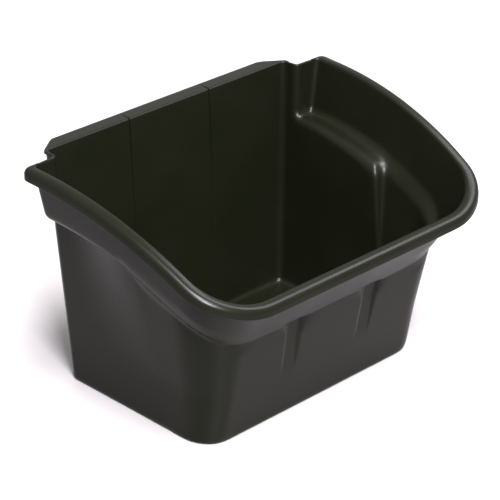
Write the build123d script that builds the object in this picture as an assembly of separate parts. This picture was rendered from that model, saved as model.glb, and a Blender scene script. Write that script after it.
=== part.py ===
from build123d import *
import os

# A one-piece moulded utility bin that hangs on a service cart, in millimetres.
# It is modelled with y = 0 on the inner face of the back wall at its top edge,
# z = 0 on the underside of the base, and then moved to the middle of its own footprint.

# Overall form
WALL = 3.0
HEIGHT = 265.0
FLANGE_DEPTH = 19.0          # hanging flange, behind the inner face of the back wall
FLANGE_HALF = 147.0          # half-length of the flange's rear edge, between its chamfers
LIP_DROP = 22.0              # down-turned hook lip at the rear of the flange

# Lower tub, inner faces
BACK_HALF = 170.0            # half-width of the back wall at its top
BACK_DRAFT = 0.042           # run per rise of the back wall and of the wings' rear faces
SIDE_DRAFT = 0.060
FRONT_FOOT = 214.0           # the front wall's inner face at the base
FRONT_DRAFT = 0.204
FOOT_RADIUS = 25.5           # the tub's front corners at the base
FOOT_RADIUS_GROWTH = 0.155   # growth per rise
STEP_FRONT = 144.0           # the side walls flare in front of a step, here at STEP_HEIGHT
STEP_HEIGHT = 180.0
STEP_DRAFT = 0.13
FLARE_START = 59.0           # height at which the flare begins
FLARE = 0.20                 # run per rise above FLARE_START
REAR_CORNER = 3.0

# Upper band with its two wings, inner faces
WING_HALF = 202.3            # half-width at the top rear
WING_SET = 19.7              # the wings start this far in front of the back wall
WING_DRAFT = 0.193
BAND_FOOT = 122.2            # height of the band's lower edge at the front
RIM_FRONT = 274.7
RIM_FRONT_HEIGHT = 185.2
BAND_RADIUS = 55.3           # front corner radius at the front rim's height
BAND_RADIUS_GROWTH = 0.05
LEDGE_REAR = 205.0           # height of the ledge at the wings' rear faces

# Rim rolled outward round the band
RIM_OUT = 13.7
RIM_DROP = 12.0
RIM_END_RADIUS = 6.0         # plan corner of the rim's rear ends

# Flutes under the band at the front, grooves down the back wall
FLUTE_INNER = (45.0, 46.0)   # edge nearer the middle: at the top, at the bottom
FLUTE_OUTER = (67.0, 64.0)
FLUTE_DEPTH = 3.5
FLUTE_FOOT = 58.0
GROOVE_X = 56.0
GROOVE_HALF = 1.8
GROOVE_DEPTH = 1.6
GROOVE_FOOT = 108.0

# Working limits for the cutting blocks, well outside the bin
FAR = 420.0
CURVE_STEPS = 9
SLIVER = 0.05


def back_y(z):
    return -BACK_DRAFT * (HEIGHT - z)


def front_y(z):
    return -(FRONT_FOOT + FRONT_DRAFT * z)


def step_y(z):
    return -(STEP_FRONT + STEP_DRAFT * (STEP_HEIGHT - z))


def side_half(z):
    return BACK_HALF - SIDE_DRAFT * (HEIGHT - z)


def flared_half(z):
    return side_half(min(z, FLARE_START)) + FLARE * max(z - FLARE_START, 0)


def rounded_section(z, half, y_rear, y_front, front_radius, rear_radius):
    """A level four-sided section with rounded front and rear corners."""
    outline = Polyline(
        (-half, y_rear),
        (half, y_rear),
        (half, y_front),
        (-half, y_front),
        close=True,
    )
    face = make_face(outline)
    rear = face.vertices().sort_by(Axis.Y)[2:]
    face = fillet(rear, rear_radius)
    front = face.vertices().sort_by(Axis.Y)[:2]
    return Pos(0, 0, z) * fillet(front, front_radius)


def tub_rear(grow, floor):
    """The lower tub with plain drafted walls, as far forward as the flare."""
    top = HEIGHT + FLANGE_DEPTH
    sections = []
    for z in (floor, top):
        half = side_half(z) + grow
        front = step_y(z) - WALL + grow
        face = make_face(
            Polyline(
                (-half, back_y(z) + grow),
                (half, back_y(z) + grow),
                (half, front),
                (-half, front),
                close=True,
            )
        )
        rear = face.vertices().sort_by(Axis.Y)[2:]
        sections.append(Pos(0, 0, z) * fillet(rear, REAR_CORNER + grow))
    return loft(sections, ruled=True)


def tub_front(grow, floor):
    """The front of the lower tub, with flared side walls and growing corner radii."""
    sections = []
    for z in (floor, FLARE_START, LEDGE_REAR + WALL):
        half = flared_half(z) + grow
        radius = FOOT_RADIUS + FOOT_RADIUS_GROWTH * z + grow
        face = make_face(
            Polyline(
                (-half, step_y(z) + grow),
                (half, step_y(z) + grow),
                (half, front_y(z) - grow),
                (-half, front_y(z) - grow),
                close=True,
            )
        )
        front = face.vertices().sort_by(Axis.Y)[:2]
        sections.append(Pos(0, 0, z) * fillet(front, radius))
    return loft(sections, ruled=True)


def band_block(grow, rear_grow, rear_radius):
    """The flaring upper band, from its lower edge to above the rim."""
    front_slope = (RIM_FRONT + front_y(BAND_FOOT)) / (RIM_FRONT_HEIGHT - BAND_FOOT)
    sections = []
    for z in (BAND_FOOT - RIM_DROP, HEIGHT + WALL):
        half = WING_HALF - WING_DRAFT * (HEIGHT - z) + grow
        y_rear = -WING_SET + back_y(z) + rear_grow
        y_front = -(RIM_FRONT + front_slope * (z - RIM_FRONT_HEIGHT)) - grow
        radius = BAND_RADIUS + BAND_RADIUS_GROWTH * (z - RIM_FRONT_HEIGHT) + grow
        sections.append(
            rounded_section(z, half, y_rear, y_front, radius, rear_radius)
        )
    return loft(sections, ruled=True)


def sweep_height(y, start, finish, top, bottom, fullness, power):
    """Height of a swooping edge: level at the rear, steepening towards the front."""
    reach = (-y - start) / (finish - start)
    return bottom + (top - bottom) * (1 - reach**fullness) ** power


def swoop(start, finish, top, bottom, fullness, power):
    """The swooping edge as a curve in the YZ plane, with level runs beyond its ends."""
    points = []
    for i in range(CURVE_STEPS + 1):
        # stations crowd towards the front, where the curve is steepest
        share = 1 - (1 - i / CURVE_STEPS) ** 1.5
        y = -(start + (finish - start) * share)
        points.append((y, sweep_height(y, start, finish, top, bottom, fullness, power)))
    return Spline(*points)


def rim_curve(drop=0.0):
    curve = swoop(WING_SET, RIM_FRONT, HEIGHT, RIM_FRONT_HEIGHT, 2.04, 0.855)
    return Pos(0, -drop) * curve


def ledge_curve(drop=0.0):
    curve = swoop(WING_SET, -front_y(BAND_FOOT), LEDGE_REAR, BAND_FOOT + WALL, 1.95, 0.58)
    return Pos(0, -drop) * curve


def block_on_side_of(curve, level):
    """Everything between a swooping edge and a far level, right across the bin."""
    rear = curve @ 0
    front = curve @ 1
    frame = Polyline(
        (front.X, front.Y),
        (-FAR, front.Y),
        (-FAR, level),
        (FAR, level),
        (FAR, rear.Y),
        (rear.X, rear.Y),
    )
    return extrude(Plane.YZ * make_face(curve + frame), amount=FAR, both=True)


def above(curve):
    return block_on_side_of(curve, FAR)


def below(curve):
    return block_on_side_of(curve, -FAR)


def lower_tub():
    """Outer form of the lower tub: up to the ledge, and to full height at the rear."""
    outer = tub_rear(WALL, 0) + tub_front(WALL, 0)
    tower = Pos(0, FAR - WING_SET, 0) * Box(FAR * 2, FAR * 2, HEIGHT * 2)
    return outer & (below(ledge_curve()) + tower)


def rim():
    """The rolled rim: a flat top and a down-turned edge, open underneath."""
    block = band_block(RIM_OUT, WALL, RIM_END_RADIUS) & above(rim_curve(RIM_DROP))
    hollow = band_block(RIM_OUT - WALL, 0, REAR_CORNER) & below(rim_curve(WALL))
    return block - hollow


def cavity():
    tub = tub_rear(0, WALL) + tub_front(0, WALL)
    band = band_block(0, 0, REAR_CORNER) & above(ledge_curve())
    return tub + band


def flange():
    """The hanging flange behind the back wall and its down-turned hook lip."""
    plate = make_face(
        Polyline(
            (-BACK_HALF - WALL, 0),
            (BACK_HALF + WALL, 0),
            (FLANGE_HALF, FLANGE_DEPTH),
            (-FLANGE_HALF, FLANGE_DEPTH),
            close=True,
        )
    )
    plate = Pos(0, 0, HEIGHT) * extrude(plate, amount=-WALL)
    lip_place = Pos(0, FLANGE_DEPTH - WALL / 2, HEIGHT - LIP_DROP / 2)
    return plate + lip_place * Box(FLANGE_HALF * 2, WALL, LIP_DROP)


def groove(centre, grow):
    """A tapering V down the back wall, measured from the wall face moved back by grow."""
    sections = []
    for z, share in ((HEIGHT, 1.0), (GROOVE_FOOT, 0.25)):
        half = (GROOVE_HALF + grow) * share
        face = back_y(z) + grow
        outline = Polyline(
            (centre - half, face - SLIVER),
            (centre + half, face - SLIVER),
            (centre, face + GROOVE_DEPTH * share),
            close=True,
        )
        sections.append(Pos(0, 0, z) * make_face(outline))
    return loft(sections, ruled=True)


def flute(side, shift):
    """A tapering recess in the front wall below the band, moved back by shift."""
    sections = []
    levels = (BAND_FOOT, FLUTE_FOOT)
    depths = (FLUTE_DEPTH, SLIVER)
    for z, depth, near, far in zip(levels, depths, FLUTE_INNER, FLUTE_OUTER):
        face = front_y(z) - WALL + shift
        outline = Polyline(
            (side * near, face - SLIVER),
            (side * far, face - SLIVER),
            (side * far, face + depth),
            (side * near, face + depth),
            close=True,
        )
        sections.append(Pos(0, 0, z) * make_face(outline))
    return loft(sections, ruled=True)


def bin_moulding():
    band = band_block(WALL, WALL, REAR_CORNER + WALL) & above(ledge_curve(WALL))
    outer = lower_tub() + band + rim()
    outer = outer & below(rim_curve())
    body = outer - cavity() + flange()
    for side in (-1, 1):
        body = body + flute(side, WALL) - flute(side, 0)
        body = body + groove(side * GROOVE_X, WALL) - groove(side * GROOVE_X, 0)
    return body


if __name__ == "__main__":
    os.makedirs("parts", exist_ok=True)
    centre_y = (RIM_FRONT + RIM_OUT - FLANGE_DEPTH) / 2
    moulding = Pos(0, centre_y, 0) * bin_moulding()
    export_step(moulding, "parts/bin_moulding.step")
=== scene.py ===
import math

import bpy
import numpy as np
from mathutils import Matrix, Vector


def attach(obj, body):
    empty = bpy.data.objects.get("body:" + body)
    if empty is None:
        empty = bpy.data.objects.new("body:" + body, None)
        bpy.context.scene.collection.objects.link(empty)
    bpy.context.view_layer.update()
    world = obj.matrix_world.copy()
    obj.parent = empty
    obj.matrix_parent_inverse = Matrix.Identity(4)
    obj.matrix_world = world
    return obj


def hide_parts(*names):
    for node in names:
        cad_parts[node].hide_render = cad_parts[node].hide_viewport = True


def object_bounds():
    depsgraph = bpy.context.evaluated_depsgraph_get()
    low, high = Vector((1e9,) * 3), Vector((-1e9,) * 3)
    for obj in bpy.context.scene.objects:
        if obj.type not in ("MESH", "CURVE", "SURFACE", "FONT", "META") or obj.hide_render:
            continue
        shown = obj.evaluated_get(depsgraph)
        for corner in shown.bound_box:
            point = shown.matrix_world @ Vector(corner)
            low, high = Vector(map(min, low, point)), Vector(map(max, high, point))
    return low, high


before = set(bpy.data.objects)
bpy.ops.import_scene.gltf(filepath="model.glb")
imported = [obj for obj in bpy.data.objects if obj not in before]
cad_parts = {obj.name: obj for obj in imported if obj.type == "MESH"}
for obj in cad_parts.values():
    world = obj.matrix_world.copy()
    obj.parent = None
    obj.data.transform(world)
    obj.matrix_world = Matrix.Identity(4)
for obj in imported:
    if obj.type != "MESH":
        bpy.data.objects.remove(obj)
cad_low, cad_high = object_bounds()

# A one-piece moulded utility bin that hangs on a service cart. One detailed mesh stands for the
# CAD solid: its inner skin is built as a sheet of quads, and the outer skin is that sheet moved
# out by the wall. Lengths are in millimetres until the mesh is made. As in the solid, y = 0 is
# the inner face of the back wall at its top and z = 0 is the underside of the base.

MM = 0.001
WALL = 3.0
FLANGE_DEPTH = 19.0
HEIGHT = cad_high.z / MM
CENTRE_Y = cad_high.y / MM - FLANGE_DEPTH

# Lower tub, inner faces
BACK_HALF = 170.0
BACK_DRAFT = 0.042
SIDE_DRAFT = 0.060
FRONT_FOOT = 214.0
FRONT_DRAFT = 0.204
FOOT_RADIUS = 31.0
FOOT_RADIUS_GROWTH = 0.14
STEP_FRONT = 144.0
STEP_HEIGHT = 180.0
STEP_DRAFT = 0.13
STEP_ROUND = 7.0
STEP_EASE = 112.0            # how far behind the step the outer skin starts to flare
STEP_FAN = 1.0               # spacing of the step's columns where the step has no width
STEP_FAN_BAND = 1.2
STEP_CLEAR = 10.0
STEP_FULL = 8.0              # width at which the step's columns reach their own places
FLARE_START = 59.0
FLARE = 0.175
REAR_ROUND = 7.0
FLOOR_ROUND = 6.0
FLOOR_OUTER_ROUND = 3.0

# Upper band with its two wings, inner faces
WING_HALF = 202.3
WING_SET = 19.7
WING_DRAFT = 0.193
WING_ROUND = 5.7
BAND_FOOT = 123.3
RIM_FRONT = 274.7
RIM_FRONT_HEIGHT = 185.2
BAND_RADIUS = 55.3
BAND_RADIUS_GROWTH = 0.05
LEDGE_REAR = 204.5
LEDGE_ROUND = 8.0
LEDGE_EDGE_ROUND = 8.0
LEDGE_FALL = 9.0
FALL_START = 50.0
FALL_FULL = 165.0
LEAST_WIDTH = 4.0
LEAST_ROUND = 2.5
ROUND_SHARE = 0.45           # a fillet's largest radius, as a share of the width it is cut from

# Rim, flange and their down-turned edges
RIM_OUT = cad_high.x / MM - WING_HALF
RIM_DROP = 12.0
RIM_INNER_ROUND = 2.8
RIM_OUTER_ROUND = 7.0
RIM_END_ROUND = 6.0
NOSE_SHARE = 0.7             # largest nose and inner edge, as shares of the rim's width
TURN_SHARE = 0.22
LEAST_RISE = 0.01
RIM_LEAN = 0.9               # height of the rim's inner edge, per millimetre of its radius
REAR_NOSE = 1.2              # nose radius at the rim's rear end
REAR_DROP, DROP_GROWTH = 3.0, 2.5      # the rim's drop and wall there, and their growth
REAR_WALL, WALL_GROWTH = 1.2, 0.6      # from column to column
RIM_GROWTH = 0.4
FLANGE_GROWTH = 0.3
FLANGE_HALF = 147.0
FLANGE_ROUND = 1.6
LIP_DROP = 22.0

# Flutes in the front wall, grooves down the back wall
FLUTE_TOP = BAND_FOOT - 1.0
FLUTE_FOOT = 58.7
FLUTE_DEPTH = 3.5
FLUTE_INNER = (45.3, 44.4)
FLUTE_OUTER = (66.8, 64.0)
FLUTE_MIDDLE = 56.0
FLUTE_FLANK = 0.9
FLUTE_BESIDE = 2.2
FLUTE_LIP = 0.8
FLUTE_SHOULDER = 2.0
GROOVE_X = 56.8
GROOVE_HALF = 1.0
GROOVE_SIDE = 0.3
GROOVE_DEPTH = 2.8
GROOVE_RIDGE = 1.6
GROOVE_RIDGE_HALF = 4.0
GROOVE_FOOT = 108.0
GROOVE_FOOT_SHARE = 0.5
GROOVE_FADE = 7.0            # how far the notch runs out over the flange
FOLD_START = 0.2

# The plastic: its colour and roughness where its mottling is darkest and lightest, and its grain
PLASTIC_DARK = (0.0015, 0.0019, 0.0008)
PLASTIC_LIGHT = (0.0025, 0.0028, 0.0015)
ROUGHNESS = (0.29, 0.35)
MOTTLE_RANGE = (0.35, 0.65)
MOTTLE_SCALE, MOTTLE_DETAIL = 14, 4
GRAIN_SCALE, GRAIN_DETAIL = 900, 2
GRAIN_STRENGTH, GRAIN_DEPTH = 0.12, 0.0002
IOR = 1.46
GLOSS = 0.09

# How rows and columns crowd where the skin turns: a point this share of the radius before a
# sharp corner lands 15 degrees further round the fillet than the one before it
TURN = (1.0, 0.732, 0.4226, 0.0)
STEP_SHARES = (
    -1, -0.732, -0.4226, 0, 0.1057, 0.183, 0.25, 0.5,
    0.75, 0.817, 0.8943, 1, 1.4226, 1.732, 2,
)
STEP_MIDDLE = STEP_SHARES.index(0.5)
BACK_COLUMNS = (0, 14, 28, 42)
BACK_COLUMNS_OUTER = (74, 88, 102, 116, 130, 142, FLANGE_HALF - 1.5)
BACK_RUN = (0, 0.2, 0.5, 0.8)
RETURN_STARTS = (REAR_ROUND + 1.5, REAR_ROUND + 3)
GROOVE_BESIDE = 0.5
RUN_COLUMNS = 11
FLARE_COLUMNS = 5
CORNER_STEPS = 12
FRONT_RUN = (0.25, 0.5, 0.75, 1)
FRONT_RUN_CLEAR = 6.0        # from the outer flute to the columns beside it
FRONT_COLUMNS = (34, 22, 11, 0)
RETURN_COLUMNS = 5
CORNER_COLUMNS = 7
RIM_FAN = 7                  # columns that turn the rim's rear end
TUB_STEPS = 16
BAND_STEPS = 9
LEAST_GAP = 0.5
FLOOR_RINGS = (0.2, 0.45, 0.7, 0.88, *(1 - t * FLOOR_ROUND / 100 for t in TURN[:-1]))
FLOOR_TURN = [FLOOR_ROUND * t for t in reversed(TURN)]
TOP_ROWS = (1.2, 0.0)        # distances below the wall's top edge
EDGE_STEPS = (0.3, 0.65, 1.0)
NOSE_ANGLES = (0, 22.5, 45, 67.5, 90)
DROP_SHARE, END_ROW = 0.4, 1.0

# How points are evened out: how near to the ledge, how many passes, and how strongly
RELAX_REACH, RELAX_PASSES, RELAX_PULL = 18.0, 12, 0.6
SOFT_REACH, SOFT_PASSES, SOFT_PULL = 14.0, 10, 0.5

# How points are moved onto the skin: passes, probing distance, least slope and largest move
SETTLE_PASSES, PROBE, LEAST_SLOPE, LARGEST_MOVE = 6, 0.05, 0.2, 2.0
MEET_PASSES, MEET_PULL = 12, 0.7
ON_MIDDLE, LEAST_LENGTH = 1e-4, 1e-12
STIFFNESS = 0.02             # lets the outer skin be found where the inner one is flat


def lerp(a, b, t):
    return a + (b - a) * t


def back_y(z):
    return -BACK_DRAFT * (HEIGHT - z)


def front_y(z):
    return -(FRONT_FOOT + FRONT_DRAFT * z)


def step_y(z):
    return -(STEP_FRONT + STEP_DRAFT * (STEP_HEIGHT - z))


def side_half(z):
    return BACK_HALF - SIDE_DRAFT * (HEIGHT - z)


def flared_half(z):
    return side_half(np.minimum(z, FLARE_START)) + FLARE * np.maximum(z - FLARE_START, 0)


def tub_radius(z):
    return FOOT_RADIUS + FOOT_RADIUS_GROWTH * z


def band_half(z):
    return WING_HALF - WING_DRAFT * (HEIGHT - z)


def band_rear(z):
    return back_y(z) - WING_SET


def band_front(z):
    slope = (RIM_FRONT + front_y(BAND_FOOT)) / (RIM_FRONT_HEIGHT - BAND_FOOT)
    return -(RIM_FRONT + slope * (z - RIM_FRONT_HEIGHT))


def band_radius(z):
    return BAND_RADIUS + BAND_RADIUS_GROWTH * (z - RIM_FRONT_HEIGHT)


def swoop(y, finish, top, bottom, fullness, power):
    """Height of an edge that is level at the wings' rear and steepens towards the front."""
    reach = np.clip((-y - WING_SET) / (finish - WING_SET), 0, 1)
    return bottom + (top - bottom) * (1 - reach**fullness) ** power


def rim_z(y):
    return swoop(y, RIM_FRONT, HEIGHT, RIM_FRONT_HEIGHT, 2.04, 0.855)


def ledge_z(y):
    return swoop(y, -front_y(BAND_FOOT), LEDGE_REAR, BAND_FOOT, 1.95, 0.58)


def ledge_fall(y, width):
    """How far the ledge's inner edge lies below its outer one."""
    ahead = np.clip((-y - FALL_START) / (FALL_FULL - FALL_START), 0, 1)
    return LEDGE_FALL * ahead * np.clip(width / LEAST_WIDTH, 0, 1)


def ledge_round(width, fall):
    """Radius of the ledge's fillets, less where the ledge is narrow."""
    return np.clip(ROUND_SHARE * np.hypot(width, fall), LEAST_ROUND, LEDGE_ROUND)


def blend_min(a, b, r):
    """The smaller of two distances, rounded to radius r where they cross."""
    over = np.hypot(np.maximum(r - a, 0), np.maximum(r - b, 0))
    return np.maximum(r, np.minimum(a, b)) - over


def blend_max(a, b, r):
    return -blend_min(-a, -b, r)


def room(p):
    """Distance into the bin's hollow, positive inside, with every inner corner rounded."""
    x, y, z = p.T
    step_width = flared_half(z) - side_half(z)
    step_round = np.minimum(STEP_ROUND, ROUND_SHARE * step_width)
    flared = blend_min(flared_half(z) - x, step_y(z) - y, step_round)
    side = blend_max(side_half(z) - x, flared, step_round)
    tub_plan = blend_min(side, y - front_y(z), tub_radius(z))
    tub = blend_min(tub_plan, back_y(z) - y, REAR_ROUND)
    tub = blend_min(tub, z - WALL, FLOOR_ROUND)
    band_plan = blend_min(band_half(z) - x, y - band_front(z), band_radius(z))
    band = blend_min(band_plan, band_rear(z) - y, WING_ROUND)
    slope = ledge_z(y + 0.5) - ledge_z(y - 0.5)
    width = np.maximum(band_plan - tub_plan, LEAST_WIDTH)
    fall = ledge_fall(y, band_plan - tub_plan)
    shelf = ledge_z(y) - fall * np.clip(band_plan / width, 0, 1)
    above = (z - shelf) / np.sqrt(1 + slope**2 + (fall / width) ** 2)
    turn = ledge_round(width, fall)
    band = blend_min(band, above, turn)
    at_ledge = np.clip((3 * LEDGE_EDGE_ROUND - above) / (2 * LEDGE_EDGE_ROUND), 0, 1)
    at_wing = np.clip((y - band_rear(z)) / LEDGE_EDGE_ROUND + 3, 0, 1)
    edge_round = np.maximum(turn * at_ledge, LEDGE_EDGE_ROUND * at_wing)
    return blend_max(tub, band, edge_round)


def settle(points):
    """Moves points near the inner skin onto it, along the skin's own normal."""
    p = np.array(points, float)
    for _ in range(SETTLE_PASSES):
        value = room(p)
        rises = [room(p + d) - room(p - d) for d in np.eye(3) * PROBE]
        slope = np.stack(rises, axis=1) / (2 * PROBE)
        step = slope * (value / np.maximum((slope**2).sum(1), LEAST_SLOPE))[:, None]
        p -= np.clip(step, -LARGEST_MOVE, LARGEST_MOVE)
    return p


def neighbour_mean(quads, size):
    """A function that gives, for each point, the mean of the points it shares an edge with."""
    pairs = np.vstack([quads[:, (0, 1)], quads[:, (1, 2)], quads[:, (2, 3)], quads[:, (3, 0)]])
    pairs = np.vstack([pairs, pairs[:, ::-1]])
    count = np.zeros(size)
    np.add.at(count, pairs[:, 0], 1)

    def mean(p):
        total = np.zeros_like(p)
        np.add.at(total, pairs[:, 0], p[pairs[:, 1]])
        return total / np.maximum(count, 1)[:, None]

    return mean


def relax(p, quads):
    """Evens out the points where the step meets the ledge, and keeps them on the skin."""
    mean = neighbour_mean(np.array(quads), len(p))
    x, y, z = p.T
    near = (abs(z - ledge_z(y)) < RELAX_REACH) & (abs(y - step_y(z)) < RELAX_REACH)
    near &= x > side_half(z) - LEDGE_EDGE_ROUND
    for _ in range(RELAX_PASSES):
        p[near] = settle(lerp(p, mean(p), RELAX_PULL)[near])
    return p


# Columns run round the bin from the middle of the back to the middle of the front. Each gives
# its plan position on the lower tub and on the band as functions of height.


def back_column(x):
    return lambda z: (x, back_y(z))


def back_run(t):
    return lambda z: (lerp(FLANGE_HALF, side_half(z) - REAR_ROUND, t), back_y(z))


def rear_corner(along_back, along_side):
    return lambda z: (
        side_half(z) - REAR_ROUND * along_back,
        back_y(z) - REAR_ROUND * along_side,
    )


def return_column(d):
    return lambda z: (side_half(z), back_y(z) - d)


def wing_column(d):
    return (
        lambda z: (side_half(z), band_rear(z) - d),
        lambda z: (band_half(z), band_rear(z) - d),
    )


def run_column(t):
    """Along the side wall, from the wing's rear corner to the step."""

    def tub(z):
        return side_half(z), lerp(band_rear(z) - WING_ROUND, step_y(z) + STEP_ROUND, t)

    def band(z):
        return band_half(z), lerp(band_rear(z) - WING_ROUND, step_y(z) + STEP_CLEAR, t)

    return tub, band


def step_column(share, index):
    """Over the step: share runs from -1 behind it, through 0 to 1 on it, to 2 in front."""
    sharp = -STEP_ROUND * (share if share <= 0 else max(share - 1, 0))
    spread = STEP_FAN * (STEP_MIDDLE - index)

    def tub(z):
        width = flared_half(z) - side_half(z)
        turn = min(STEP_ROUND, ROUND_SHARE * width)
        near = min(share, 1 - share) * 4 * turn
        across = width / 2 if share == 0.5 else (near if share < 0.5 else width - near)
        x = side_half(z) + (0 if share <= 0 else width if share >= 1 else across)
        return x, step_y(z) + lerp(spread, sharp, min(1, width / STEP_FULL))

    def band(z):
        return band_half(z), step_y(z) + STEP_FAN_BAND * (STEP_MIDDLE - index)

    return tub, band


def flare_column(t):
    def tub(z):
        return flared_half(z), lerp(step_y(z) - STEP_ROUND, front_y(z) + tub_radius(z), t)

    def band(z):
        return band_half(z), lerp(step_y(z) - STEP_CLEAR, band_front(z) + band_radius(z), t)

    return tub, band


def corner_column(angle):
    across, along = math.cos(angle), math.sin(angle)

    def tub(z):
        r = tub_radius(z)
        return flared_half(z) - r * (1 - across), front_y(z) + r * (1 - along)

    def band(z):
        r = band_radius(z)
        return band_half(z) - r * (1 - across), band_front(z) + r * (1 - along)

    return tub, band


def front_column(x):
    """On the front wall, where x is a function of height and the corner's end."""

    def tub(z):
        return x(z, flared_half(z) - tub_radius(z)), front_y(z)

    def band(z):
        return x(z, band_half(z) - band_radius(z)), band_front(z)

    return tub, band


def flute_edge(edge, z):
    t = min(max((FLUTE_TOP - z) / (FLUTE_TOP - FLUTE_FOOT), 0), 1)
    return lerp(edge[0], edge[1], t)


def columns():
    """All columns as (tub, band) pairs, the index of the one at the wing's rear corner, and the
    way that each one from there on faces, as an angle from the side round to the front."""
    found = []
    bottom = GROOVE_HALF - GROOVE_SIDE
    offsets = (GROOVE_RIDGE_HALF, GROOVE_HALF + GROOVE_BESIDE, GROOVE_HALF, bottom)
    groove = [GROOVE_X - off for off in offsets]
    groove += [GROOVE_X, *(GROOVE_X + off for off in offsets[::-1])]
    for x in (*BACK_COLUMNS, *groove, *BACK_COLUMNS_OUTER):
        found.append(back_column(x))
    for t in BACK_RUN:
        found.append(back_run(t))
    for share in TURN:
        found.append(rear_corner(share, 0))
    for share in reversed(TURN[:-1]):
        found.append(rear_corner(0, share))
    for d in (*RETURN_STARTS, *(WING_SET - LEDGE_EDGE_ROUND * t for t in TURN[:-1])):
        found.append(return_column(d))
    found = [(f, f) for f in found]
    wing = len(found)
    for share in reversed(TURN):
        found.append(wing_column(WING_ROUND * share))
    for i in range(RUN_COLUMNS):
        found.append(run_column((i + 1) / (RUN_COLUMNS + 1)))
    for i, share in enumerate(STEP_SHARES):
        found.append(step_column(share, i))
    for i in range(FLARE_COLUMNS):
        found.append(flare_column((i + 1) / (FLARE_COLUMNS + 1)))
    facing = [0.0] * (len(found) - wing)
    for i in range(CORNER_STEPS + 1):
        angle = math.radians(90 * i / CORNER_STEPS)
        found.append(corner_column(angle))
        facing.append(angle)
    beside = FLUTE_OUTER[0] + FRONT_RUN_CLEAR
    for t in FRONT_RUN:
        found.append(front_column(lambda z, end, t=t: lerp(end, beside, t)))
    for edge in (FLUTE_OUTER, FLUTE_INNER):
        if edge is FLUTE_INNER:
            found.append(front_column(lambda z, end: FLUTE_MIDDLE))
        for off in (FLUTE_BESIDE, FLUTE_FLANK, -FLUTE_FLANK, -FLUTE_BESIDE):
            found.append(front_column(lambda z, end, e=edge, o=off: flute_edge(e, z) + o))
    for x in FRONT_COLUMNS:
        found.append(front_column(lambda z, end, x=x: float(x)))
    facing += [math.pi / 2] * (len(found) - wing - len(facing))
    return found, wing, facing


def meet(plan, height, start):
    """Height at which a column meets an edge whose height depends on y."""
    z = start
    for _ in range(MEET_PASSES):
        z = lerp(z, float(height(plan(z)[1])), MEET_PULL)
    return z


def at(plan, z):
    x, y = plan(z)
    return (float(x), float(y), float(z))


def ledge_lines(width):
    """Distances across the ledge of the lines that run along it, from the tub to the band."""
    edge = min(LEDGE_EDGE_ROUND, ROUND_SHARE * width)
    inner = min(LEDGE_ROUND, ROUND_SHARE * width)
    before = [edge * t for t in reversed(TURN)]
    after = [width - inner * t for t in TURN]
    lines = [*before, width / 2, *after]
    middle = len(lines) // 2
    for k in range(middle):
        lines[k] = min(lines[k], width / 2 - LEAST_GAP * (middle - k))
        lines[-1 - k] = max(lines[-1 - k], width / 2 + LEAST_GAP * (middle - k))
    return lines


def rows(low, high, first, last, steps):
    """Heights from low to high: crowded by first and last near the ends, even between."""
    start, finish = low + first[-1], high - last[0]
    middle = [lerp(start, finish, i / steps) for i in range(1, steps)]
    return [low + f for f in first] + middle + [high - g for g in last]


class Sheet:
    """Named points and quads of the right half of the inner skin. A point's name starts with its
    patch: F floor, T tub, K ledge, B band or the back wall beside it, W the wing's rear face,
    R the strip from the back wall to the wing, G flange, M rim."""

    def __init__(self):
        self.index, self.points, self.wall, self.quads, self.same = {}, [], [], [], {}

    def put(self, key, point, wall=WALL):
        self.index[key] = len(self.points)
        self.points.append(tuple(map(float, point)))
        self.wall.append(wall)

    def of(self, key):
        while key in self.same:
            key = self.same[key]
        return self.index[key]

    def patch(self, name, firsts, seconds):
        for a, b in zip(firsts, firsts[1:]):
            for c, d in zip(seconds, seconds[1:]):
                self.quads.append([self.of((name, *k)) for k in ((a, c), (b, c), (b, d), (a, d))])


def turned(radius, order):
    """Distances of a fillet's rows from its sharp edge: order 1 towards it, -1 away from it."""
    return [radius * t for t in TURN][::order]


def foot_wall(degrees):
    """Wall through the floor's fillet, whose outer radius is tighter than the wall would make it."""
    a = math.radians(degrees)
    reach = FLOOR_ROUND + WALL
    centre = reach - FLOOR_OUTER_ROUND
    along = centre * (math.sin(a) + math.cos(a))
    root = along**2 - 2 * centre**2 + FLOOR_OUTER_ROUND**2
    return (along + math.sqrt(root) if root > 0 else reach / math.cos(a)) - FLOOR_ROUND


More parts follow.
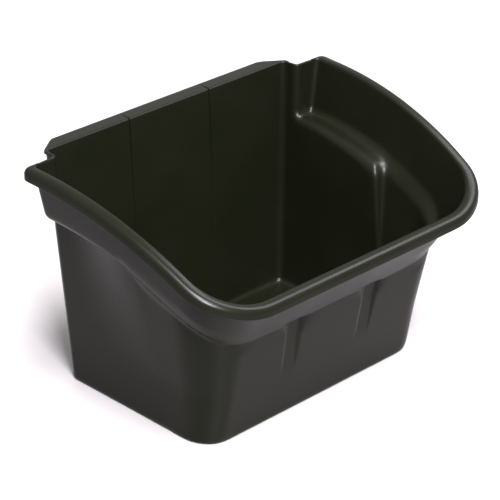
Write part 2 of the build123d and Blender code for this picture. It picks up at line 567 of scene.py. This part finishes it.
def make_walls(sheet, stations, wing):
    """The floor, the tub, the ledge, the band and the wings' rear faces."""
    last = len(stations) - 1
    tub, band = stations[wing]
    rear_ledge = meet(tub, ledge_z, LEDGE_REAR)
    rear_width = band_half(rear_ledge) - side_half(rear_ledge)
    count = len(ledge_lines(rear_width))
    tub_rows = len(rows(0, 1, FLOOR_TURN, TURN, TUB_STEPS))
    band_rows = len(rows(0, 1, TURN[::-1], TOP_ROWS, BAND_STEPS))
    centre = lerp(back_y(0), front_y(0), 0.5)
    foot_walls = [foot_wall(a) for a in (45, 30, 15)]
    plain_rings = len(FLOOR_RINGS) - len(foot_walls) + 1
    ring_walls = [WALL] * plain_rings + foot_walls[:0:-1]
    for i, (tub, band) in enumerate(stations):
        x, y = tub(WALL)
        for ring, share in enumerate(FLOOR_RINGS):
            place = (x * share, centre + (y - centre) * share, WALL)
            sheet.put(("F", i, ring), place, ring_walls[ring])
        sheet.same[("F", i, len(FLOOR_RINGS))] = ("T", i, 0)
        low = meet(tub, ledge_z, LEDGE_REAR) if i >= wing else rear_ledge
        high = meet(band, ledge_z, LEDGE_REAR) if i >= wing else rear_ledge
        turn = LEDGE_ROUND
        if i >= wing:
            width = math.dist(tub(low), band(high))
            fall = float(ledge_fall(tub(low)[1], width))
            turn = float(ledge_round(max(width, LEAST_WIDTH), fall))
            low -= fall
        a, b = at(tub, low), at(band, high)
        width = math.dist(a[:2], b[:2]) if i >= wing else rear_width
        across = ledge_lines(width)
        below, above = min(0, across[0]), max(0, across[-1] - width)
        edge = [d - below for d in turned(turn, 1)]
        inner = [d + above for d in turned(turn, -1)]
        for r, z in enumerate(rows(WALL, low, FLOOR_TURN, edge, TUB_STEPS)):
            sheet.put(("T", i, r), at(tub, z), foot_walls[r] if r < len(foot_walls) else WALL)
        top = top_of_wall(i, wing, band)
        for r, z in enumerate(rows(high, top, inner, TOP_ROWS, BAND_STEPS)):
            sheet.put(("B", i, r), at(band, z))
        if i < wing:
            sheet.same[("B", i, 0)] = ("T", i, tub_rows - 1)
            continue
        sheet.same[("K", i, 0)] = ("T", i, tub_rows - 1)
        sheet.same[("K", i, count - 1)] = ("B", i, 0)
        for k in range(1, count - 1):
            if i == wing:
                sheet.same[("K", i, k)] = ("W", k, 0)
            elif across[k] < 0:
                sheet.put(("K", i, k), at(tub, low + across[k]))
            elif across[k] > width:
                sheet.put(("K", i, k), at(band, high + across[k] - width))
            else:
                sheet.put(("K", i, k), lerp(np.array(a), np.array(b), across[k] / width))
    for k in range(count - 1):
        top = HEIGHT - edge_drop(rim_turn(k - count + 4))
        inner = turned(LEDGE_ROUND, -1)
        for r, z in enumerate(rows(rear_ledge, top, inner, TOP_ROWS, BAND_STEPS)):
            x = side_half(z) + ledge_lines(band_half(z) - side_half(z))[k]
            sheet.put(("W", k, r), (x, band_rear(z), z))
    for r in range(band_rows):
        sheet.same[("W", count - 1, r)] = ("B", wing, r)
        sheet.same[("R", wing, r)] = ("W", 0, r)
        sheet.same[("R", wing - 1, r)] = ("B", wing - 1, r)
    sheet.same[("W", 0, 0)] = ("T", wing, tub_rows - 1)
    everywhere = range(last + 1)
    sheet.patch("F", everywhere, range(len(FLOOR_RINGS) + 1))
    sheet.patch("T", everywhere, range(tub_rows))
    sheet.patch("B", range(wing), range(band_rows))
    sheet.patch("R", (wing - 1, wing), range(band_rows))
    sheet.patch("W", range(count), range(band_rows))
    sheet.patch("B", range(wing, last + 1), range(band_rows))
    sheet.patch("K", range(wing, last + 1), range(count))
    sheet.tub_rows = tub_rows
    sheet.first_step = wing + len(TURN) + RUN_COLUMNS
    sheet.points = list(map(tuple, relax(settle(sheet.points), sheet.quads)))
    return count, band_rows - 1


def edge_drop(turn):
    return RIM_LEAN * turn


def rim_turn(order):
    """Radius of the rim's inner edge, which grows from nothing at the rim's rear end."""
    return min(RIM_INNER_ROUND, RIM_GROWTH * (order + 1)) if order >= 0 else 0.0


def flange_turn(i, wing):
    """Radius of the flange's fold, which dies out round the tub's rear corner."""
    left = wing - RETURN_COLUMNS - 1 - i
    return min(FLANGE_ROUND, FLANGE_GROWTH * (left + 1)) if left >= 0 else 0.0


def top_of_wall(i, wing, band):
    if i < wing:
        return HEIGHT - flange_turn(i, wing)
    return meet(band, rim_z, RIM_FRONT_HEIGHT) - edge_drop(rim_turn(i - wing + 3))


def strip(sheet, name, i, wall_rows, crest, outer, sizes):
    """One column of the rim or the flange: over the edge, out, round the nose and down."""
    turn, nose, drop, wall = sizes
    start, before = (np.array(sheet.points[sheet.of(k)]) for k in wall_rows)
    edge = start + (start - before) * ((crest - start[2]) / max(start[2] - before[2], LEAST_RISE))
    reach = np.array([*outer, crest]) - edge
    width = float(np.hypot(*reach[:2]))
    out = reach / width
    out[2] = 0
    nose = min(nose, NOSE_SHARE * width)
    turn = min(turn, TURN_SHARE * width)
    path = []
    for t in EDGE_STEPS:
        path.append(start * (1 - t) ** 2 + edge * (2 * t * (1 - t)) + (edge + out * turn) * t * t)
    path.append(edge + out * lerp(turn, width - nose, 0.5))
    for a in map(math.radians, NOSE_ANGLES):
        fall = nose * (1 - math.cos(a)) if drop else 0.0
        path.append(edge + out * (width - nose + nose * math.sin(a)) - np.array([0, 0, fall]))
    for z in (lerp(nose, drop, DROP_SHARE), drop - END_ROW, drop) if drop else ():
        path.append(edge + out * width - np.array([0, 0, z]))
    sheet.same[(name, i, 0)] = wall_rows[0]
    for r, point in enumerate(path, 1):
        sheet.put((name, i, r), point, wall)
    return len(path)


def make_flange(sheet, stations, wing, top_row):
    end = wing - RETURN_COLUMNS - 1
    first_turned = end - CORNER_COLUMNS + 1
    full = 0
    for i in range(end + 1):
        x, _ = stations[i][0](HEIGHT)
        if i > first_turned:
            round_corner = min(1, (i - first_turned) / (CORNER_COLUMNS - 2))
            x = lerp(BACK_HALF - REAR_ROUND, BACK_HALF + WALL, round_corner)
        outer = (x, FLANGE_DEPTH)
        if x > FLANGE_HALF:
            outside = BACK_HALF + WALL
            outer = (x, FLANGE_DEPTH * (outside - x) / (outside - FLANGE_HALF))
        if i == end:
            outer = (x, -REAR_ROUND)
        drop = LIP_DROP if x <= FLANGE_HALF + 0.01 else 0.0
        sizes = (flange_turn(i, wing), FLANGE_ROUND, drop, WALL)
        made = strip(sheet, "G", i, [("B", i, top_row), ("B", i, top_row - 1)], HEIGHT, outer, sizes)
        if drop:
            full, deep = i, made
        else:
            shallow = made
    sheet.patch("G", range(full + 1), range(deep + 1))
    sheet.patch("G", range(full, end + 1), range(shallow + 1))


def rim_end(t, x_first, y_last):
    """The rim's outline round its rear end, t from 0 behind the wing to 1 at its side."""
    across = WING_HALF + RIM_OUT - RIM_END_ROUND
    rear = WALL - WING_SET
    runs = (across - x_first, RIM_END_ROUND * math.pi / 2, rear - RIM_END_ROUND - y_last)
    s = t * sum(runs)
    if s <= runs[0]:
        return x_first + s, rear
    if s <= runs[0] + runs[1]:
        a = (s - runs[0]) / RIM_END_ROUND
        return across + RIM_END_ROUND * math.sin(a), rear - RIM_END_ROUND * (1 - math.cos(a))
    return across + RIM_END_ROUND, rear - RIM_END_ROUND - (s - runs[0] - runs[1])


def make_rim(sheet, stations, wing, count, top_row, facing):
    last = len(stations) - 1
    columns_round = [("W", k) for k in (count - 4, count - 3, count - 2)]
    columns_round += [("B", i) for i in range(wing, last + 1)]
    x_first = sheet.points[sheet.of(("W", count - 4, top_row))][0]
    y_last = sheet.points[sheet.of(("B", wing + RIM_FAN - 4, top_row))][1]
    for order, (name, i) in enumerate(columns_round):
        keys = [(name, i, top_row), (name, i, top_row - 1)]
        x, y, z = sheet.points[sheet.of(keys[0])]
        crest = HEIGHT if name == "W" else z + edge_drop(rim_turn(order))
        if order < RIM_FAN:
            outer = rim_end(order / (RIM_FAN - 1), x_first, y_last)
            nose = lerp(REAR_NOSE, RIM_OUTER_ROUND, order / RIM_FAN)
        else:
            lean = np.array([x, y]) - np.array(sheet.points[sheet.of(keys[1])][:2])
            lean = lean * (edge_drop(rim_turn(order)) / TOP_ROWS[0])
            a = facing[i - wing]
            outer = (x + lean[0] + RIM_OUT * math.cos(a), y + lean[1] - RIM_OUT * math.sin(a))
            nose = RIM_OUTER_ROUND
        drop = min(RIM_DROP, REAR_DROP + DROP_GROWTH * order)
        wall = min(WALL, REAR_WALL + WALL_GROWTH * order)
        sizes = (rim_turn(order), nose, drop, wall)
        made = strip(sheet, "M", order, keys, crest, outer, sizes)
    sheet.patch("M", range(len(columns_round)), range(made + 1))


def press_flutes(p):
    """Presses the flutes into the front wall."""
    x, y, z = np.abs(p[:, 0]), p[:, 1], p[:, 2]
    down = np.clip((FLUTE_TOP - z) / (FLUTE_TOP - FLUTE_FOOT), 0, 1)
    near, far = lerp(*FLUTE_INNER, down), lerp(*FLUTE_OUTER, down)
    across = np.clip((np.minimum(far - x, x - near) / FLUTE_FLANK + 1) / 2, 0, 1)
    under = np.clip((FLUTE_TOP + FLUTE_LIP - z) / FLUTE_SHOULDER, 0, 1)
    on_front = y < front_y(z) + WALL
    p[:, 1] += np.where(on_front, FLUTE_DEPTH * (1 - down) * across * under, 0)
    return p


def press_grooves(p, profile, depth, behind):
    """Presses the grooves into the back wall's skin that lies this far behind its inner face.
    Profile gives the share of the depth at a distance from a groove's middle."""
    x, y, z = np.abs(p[:, 0]), p[:, 1] - behind, p[:, 2]
    share = lerp(GROOVE_FOOT_SHARE, 1, np.clip((z - GROOVE_FOOT) / (HEIGHT - GROOVE_FOOT), 0, 1))
    dip = depth * share * np.clip(profile(np.abs(x - GROOVE_X)), 0, 1)
    dip = np.where((z > GROOVE_FOOT) & (y > back_y(z) - 1), dip, 0)
    fold = np.clip((y + FOLD_START) / FLANGE_ROUND, 0, 1)
    fade = np.clip(1 - y / GROOVE_FADE, 0, 1)
    p[:, 1] += dip * (1 - fold)
    p[:, 2] -= dip * fold * fade
    return p


def ease_step(outer, order):
    """Fills the outer skin out behind the step, so that the side flares gently outside. Order is
    each point's place among the step's columns, or -1."""
    x, y, z = np.abs(outer[:, 0]), outer[:, 1], outer[:, 2]
    below = np.clip((ledge_z(y) - STEP_CLEAR - z) / STEP_CLEAR, 0, 1)
    fanned = lerp(y, step_y(z) + STEP_FAN * (STEP_MIDDLE - order), below)
    y = np.where(order >= 0, fanned, y)
    near = np.clip((step_y(z) + STEP_EASE - y) / STEP_EASE, 0, 1)
    flare = (flared_half(z) - side_half(z)) * near * near * (3 - 2 * near)
    eased = np.maximum(x, side_half(z) + WALL + flare)
    under = (z > FLARE_START) & (z < ledge_z(y) - 1) & (y < step_y(z) + STEP_EASE)
    on_step = under & (y > step_y(z) - STEP_FAN * (STEP_MIDDLE + 1))
    outer[:, 0] = np.sign(outer[:, 0]) * np.where(on_step, eased, x)
    outer[:, 1] = y
    return outer


def soften(outer, quads):
    """Smooths the outer skin ahead of the step, where the band melts into the wall below it."""
    mean = neighbour_mean(quads, len(outer))
    x, y, z = outer.T
    under = (abs(z + WALL - ledge_z(y)) < SOFT_REACH) & (y < step_y(z) + SOFT_REACH)
    under &= (abs(x) > side_half(z)) | (y < front_y(z))
    for _ in range(SOFT_PASSES):
        outer[under] = lerp(outer, mean(outer), SOFT_PULL)[under]
    return outer


def wall_offset(p, quads, wall):
    """For each point, the way to the outer skin that keeps every face around it one wall away."""
    diagonal = np.cross(p[quads[:, 2]] - p[quads[:, 0]], p[quads[:, 3]] - p[quads[:, 1]])
    normals = diagonal / np.maximum(np.linalg.norm(diagonal, axis=1), LEAST_LENGTH)[:, None]
    spread = np.zeros((len(p), 3, 3))
    total = np.zeros((len(p), 3))
    for corner in range(4):
        np.add.at(spread, quads[:, corner], normals[:, :, None] * normals[:, None, :])
        np.add.at(total, quads[:, corner], normals)
    spread += np.eye(3) * (STIFFNESS * np.trace(spread, axis1=1, axis2=2))[:, None, None]
    return np.linalg.solve(spread, total[:, :, None])[:, :, 0] * wall[:, None]


def close_shell(points, quads, wall, order, cap):
    """Mirrors the half sheet, adds the outer skin one wall away, and joins their free edges.
    Cap is the innermost ring of points on the floor, which one face closes on each skin."""
    n = len(points)
    both = np.vstack([points, points * (-1, 1, 1)])
    wall, order = np.concatenate([wall, wall]), np.concatenate([order, order])
    on_middle = np.abs(points[:, 0]) < ON_MIDDLE
    partner = np.where(on_middle, np.arange(n), np.arange(n) + n)
    both[:n][on_middle, 0] = 0
    quads = np.array(quads)
    quads = np.vstack([quads, partner[quads][:, ::-1]])
    used, flat = np.unique(quads, return_inverse=True)
    quads = flat.reshape(quads.shape)
    p, wall, order = both[used], wall[used], order[used]
    m = len(p)
    edges = {(int(a), int(b)): True for q in quads for a, b in zip(q, np.roll(q, -1))}
    faces = [list(map(int, q)) for q in quads] + [[int(v) + m for v in q[::-1]] for q in quads]
    right = np.array(cap)
    ring = list(map(int, np.searchsorted(used, np.concatenate([right, partner[right[-2:0:-1]]]))))
    faces += [ring[::-1], [v + m for v in ring]]
    inside = set(ring)
    faces += [
        (b, a, a + m, b + m)
        for a, b in edges  # a dict, which keeps the order it was filled in
        if (b, a) not in edges and not (a in inside and b in inside)
    ]
    outer = soften(ease_step(p - wall_offset(p, quads, wall), order), quads)
    outer[:, 2] = np.maximum(outer[:, 2], 0)
    inner = press_grooves(p, lambda d: (GROOVE_HALF - d) / GROOVE_SIDE, GROOVE_DEPTH, 0)
    outer = press_grooves(outer, lambda d: 1 - d / GROOVE_RIDGE_HALF, GROOVE_RIDGE, WALL)
    return np.vstack([inner, outer]), faces


def make_mesh():
    stations, wing, facing = columns()
    sheet = Sheet()
    count, top_row = make_walls(sheet, stations, wing)
    make_flange(sheet, stations, wing, top_row)
    make_rim(sheet, stations, wing, count, top_row, facing)
    points = press_flutes(np.array(sheet.points))
    cap = [sheet.of(("F", i, 0)) for i in range(len(stations))]
    order = np.full(len(points), -1)
    for i in range(len(STEP_SHARES)):
        for row in range(sheet.tub_rows):
            order[sheet.of(("T", sheet.first_step + i, row))] = i
    shell, faces = close_shell(points, sheet.quads, np.array(sheet.wall), order, cap)
    mesh = bpy.data.meshes.new("bin_moulding_visual")
    placed = (shell + (0, CENTRE_Y, 0)) * MM
    mesh.from_pydata(placed.tolist(), [], faces)
    mesh.validate()
    mesh.shade_smooth()
    return mesh


mesh = make_mesh()
bin_visual = bpy.data.objects.new("bin_visual", mesh)
bpy.context.scene.collection.objects.link(bin_visual)
smooth = bin_visual.modifiers.new("smooth", "SUBSURF")
smooth.levels = 1
smooth.render_levels = 1
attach(bin_visual, "root")
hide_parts("bin_moulding")


def plastic():
    """Satin charcoal plastic: a fine moulded grain, and faint mottling of colour and gloss."""
    mat = bpy.data.materials.new("moulded_plastic")
    mat.use_nodes = True
    nodes, links = mat.node_tree.nodes, mat.node_tree.links
    shader = nodes["Principled BSDF"]
    shader.inputs["Metallic"].default_value = 0.0
    shader.inputs["IOR"].default_value = IOR
    shader.inputs["Specular IOR Level"].default_value = GLOSS
    place = nodes.new("ShaderNodeTexCoord")

    def noise(scale, detail):
        node = nodes.new("ShaderNodeTexNoise")
        node.inputs["Scale"].default_value = scale
        node.inputs["Detail"].default_value = detail
        links.new(place.outputs["Object"], node.inputs["Vector"])
        return node.outputs["Fac"]

    mottle = noise(MOTTLE_SCALE, MOTTLE_DETAIL)
    colour = nodes.new("ShaderNodeMix")
    colour.data_type = "RGBA"
    colour.inputs["A"].default_value = (*PLASTIC_DARK, 1)
    colour.inputs["B"].default_value = (*PLASTIC_LIGHT, 1)
    links.new(mottle, colour.inputs["Factor"])
    links.new(colour.outputs["Result"], shader.inputs["Base Color"])
    gloss = nodes.new("ShaderNodeMapRange")
    for name, value in zip(("From Min", "From Max", "To Min", "To Max"), MOTTLE_RANGE + ROUGHNESS):
        gloss.inputs[name].default_value = value
    links.new(mottle, gloss.inputs["Value"])
    links.new(gloss.outputs["Result"], shader.inputs["Roughness"])
    grain = nodes.new("ShaderNodeBump")
    grain.inputs["Strength"].default_value = GRAIN_STRENGTH
    grain.inputs["Distance"].default_value = GRAIN_DEPTH
    links.new(noise(GRAIN_SCALE, GRAIN_DETAIL), grain.inputs["Height"])
    links.new(grain.outputs["Normal"], shader.inputs["Normal"])
    return mat


mesh.materials.append(plastic())

# Floor, light and camera, in metres. The camera turns about its aim.
FLOOR_SIZE = 20
FLOOR_COLOUR = (0.172, 0.168, 0.168, 1)
WORLD_STRENGTH = 1.1
AZIMUTH, ELEVATION, DISTANCE = math.radians(-44.60), math.radians(26.90), 2.327
CAMERA_AIM = (-0.006, 0.009, 0.138)
LENS, SENSOR, SHIFT = 161.2, 36, 0.003

stage_mat = bpy.data.materials.new("floor")
stage_mat.use_nodes = True
floor_shader = stage_mat.node_tree.nodes["Principled BSDF"]
floor_shader.inputs["Base Color"].default_value = FLOOR_COLOUR
bpy.ops.mesh.primitive_plane_add(size=FLOOR_SIZE)
floor = bpy.context.object
floor.name = "floor"
floor.data.materials.append(stage_mat)

world = bpy.context.scene.world or bpy.data.worlds.new("world")
bpy.context.scene.world = world
world.use_nodes = True
sky = world.node_tree.nodes["Background"]
sky.inputs["Color"].default_value = (1, 1, 1, 1)
sky.inputs["Strength"].default_value = WORLD_STRENGTH


def lamp_at(name, kind, power, place, aim=(0, 0, 0.15)):
    """A lamp at a place in metres, turned to its aim."""
    lamp = bpy.data.lights.new(name, kind)
    lamp.energy = power
    holder = bpy.data.objects.new(name, lamp)
    holder.location = place
    holder.rotation_euler = (Vector(aim) - Vector(place)).to_track_quat("-Z", "Y").to_euler()
    bpy.context.scene.collection.objects.link(holder)
    return lamp


overhead = lamp_at("overhead", "SUN", 15.5, (-0.5, -1.25, 3), (0, 0, 0))
overhead.angle = math.radians(22)
overhead.color = (1.0, 0.955, 0.98)
key = lamp_at("key", "AREA", 190, (-0.85, -1.25, 1.35))
key.size = 0.5
key.color = (0.98, 0.94, 1.0)
side = lamp_at("side", "AREA", 22, (0.76, -0.2, 1.12))
side.size = 0.6
side.color = (0.97, 0.93, 1.0)

camera_data = bpy.data.cameras.new("camera")
camera = bpy.data.objects.new("camera", camera_data)
bpy.context.scene.collection.objects.link(camera)
bpy.context.scene.camera = camera
level = math.cos(ELEVATION)
back = Vector((math.sin(AZIMUTH) * level, -math.cos(AZIMUTH) * level, math.sin(ELEVATION)))
camera.location = Vector(CAMERA_AIM) + back * DISTANCE
camera.rotation_euler = (math.pi / 2 - ELEVATION, 0, AZIMUTH)
camera_data.lens = LENS
camera_data.sensor_width = SENSOR
camera_data.shift_y = SHIFT

bpy.context.scene.view_settings.view_transform = "Standard"
